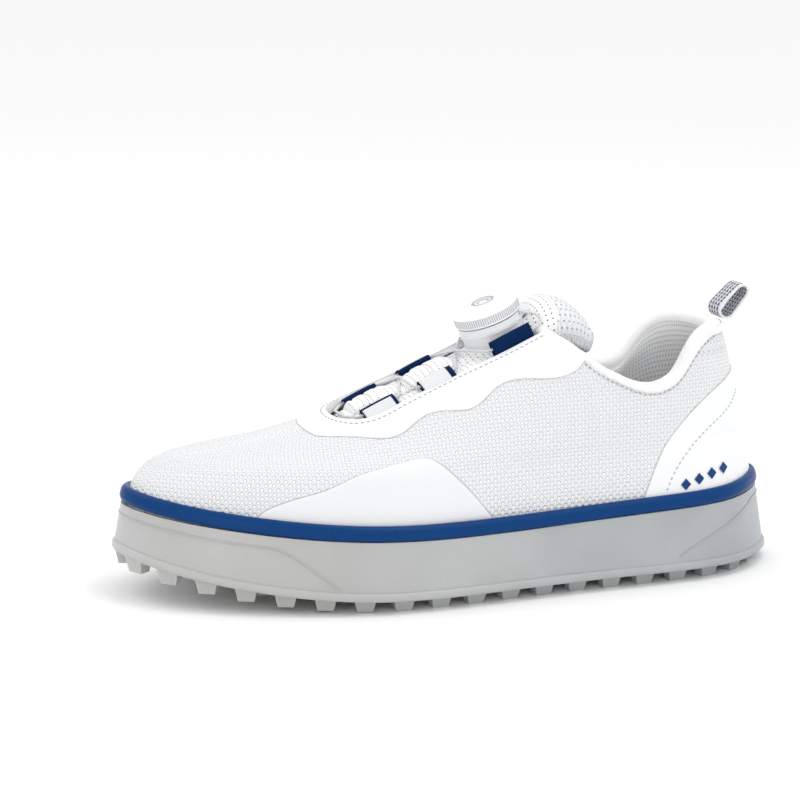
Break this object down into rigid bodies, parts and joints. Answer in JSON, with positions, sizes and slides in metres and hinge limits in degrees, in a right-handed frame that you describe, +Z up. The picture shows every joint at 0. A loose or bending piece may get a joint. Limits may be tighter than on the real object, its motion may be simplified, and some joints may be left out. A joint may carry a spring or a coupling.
{
  "type": "golf shoe",
  "caption": "Low-cut spikeless golf shoe with a lugged cup sole, a beaded textile upper, a padded collar and tongue, a rotary dial that winds a thin lace, and a heel pull tab.",
  "frame": {"origin": "on the ground, under the middle of the shoe's length and width", "axes": "+X to the toe, +Y to the outer (lateral) side of this left shoe, +Z up"},
  "size_m": [0.3015, 0.1049, 0.1261],
  "materials": {
    "outsole_grey": "satin, slightly translucent",
    "strip_blue": "glossy",
    "foam_white": "matt",
    "board_tan": "matt",
    "shank_dark": "matt",
    "sockliner_grey": "matt knit",
    "textile_white": "satin, beaded",
    "overlay_white": "satin, smooth",
    "film_white": "satin, smooth",
    "stiffener": "matt",
    "lining_grey": "matt knit",
    "foam_grey": "matt",
    "binding_white": "matt knit",
    "mesh_grey": "matt mesh",
    "leather_white": "satin, perforated",
    "webbing_blue": "ribbed webbing",
    "webbing_white": "ribbed webbing",
    "mark_blue": "satin",
    "dial_white": "satin",
    "dial_grey": "satin",
    "screw_steel": "brushed",
    "badge_grey": "satin",
    "lace_white": "braided"
  },
  "bodies": {
    "shoe": {"outsole_cup": "outsole_grey", "blue_strip": "strip_blue", "shank_plate": "shank_dark", "midsole_foam": "foam_white", "insole_board": "board_tan", "sockliner": "sockliner_grey", "upper_textile": "textile_white", "eyestay_overlay": "overlay_white", "heel_overlay": "overlay_white", "sidewall_film_lateral": "film_white", "sidewall_film_medial": "film_white", "heel_counter": "stiffener", "toe_puff": "stiffener", "vamp_lining": "lining_grey", "quarter_lining": "lining_grey", "collar_foam": "foam_grey", "collar_lining": "lining_grey", "collar_binding": "binding_white", "throat_mesh": "mesh_grey", "side_marks": "mark_blue", "lace": "lace_white", "tab_anchor": "webbing_white", "lace_loop_lateral_top": "webbing_blue", "lace_loop_lateral_middle": "webbing_blue", "lace_loop_lateral_lower": "webbing_blue", "lace_loop_medial_top": "webbing_blue", "lace_loop_medial_middle": "webbing_blue", "lace_loop_medial_lower": "webbing_blue"},
    "tongue": {"tongue_face": "leather_white", "tongue_mesh_top": "mesh_grey", "tongue_foam": "foam_grey", "tongue_lining": "lining_grey", "tongue_strip": "leather_white", "dial_seat": "dial_white", "dial_housing": "dial_white", "dial_screw": "screw_steel"},
    "knob_carrier": {"knob_bushing": "dial_grey"},
    "knob": {"dial_knob": "dial_white", "knob_badge": "badge_grey", "pawl_disc": "dial_grey"},
    "spool": {"lace_spool": "dial_grey", "lace_winding": "lace_white"},
    "pull_tab": {"heel_pull_tab": "webbing_white"}
  },
  "joints": [
    {"name": "tongue_lift", "type": "hinge", "parent": "shoe", "child": "tongue", "pos_m": [0.0523, 0, 0.07], "axis": [0, 1, 0], "range_deg": [0, 10], "deforming": ["lace", "lace_loop_lateral_top", "lace_loop_lateral_middle", "lace_loop_lateral_lower", "lace_loop_medial_top", "lace_loop_medial_middle", "lace_loop_medial_lower"]},
    {"name": "dial_pull", "type": "slide", "parent": "tongue", "child": "knob_carrier", "axis": [0.3746, 0, 0.9272], "range_m": [0, 0.0018]},
    {"name": "dial_turn", "type": "hinge", "parent": "knob_carrier", "child": "knob", "pos_m": [-0.0157, 0, 0.1115], "axis": [0.3746, 0, 0.9272], "continuous": true},
    {"name": "spool_turn", "type": "hinge", "parent": "tongue", "child": "spool", "pos_m": [-0.0157, 0, 0.1115], "axis": [0.3746, 0, 0.9272], "continuous": true},
    {"name": "tab_swing", "type": "hinge", "parent": "shoe", "child": "pull_tab", "pos_m": [-0.1257, 0, 0.1116], "axis": [0, 1, 0], "range_deg": [0, 60]}
  ],
  "couplings": [
    {"joint": "spool_turn", "follows": "dial_turn", "ratio": 1}
  ]
}
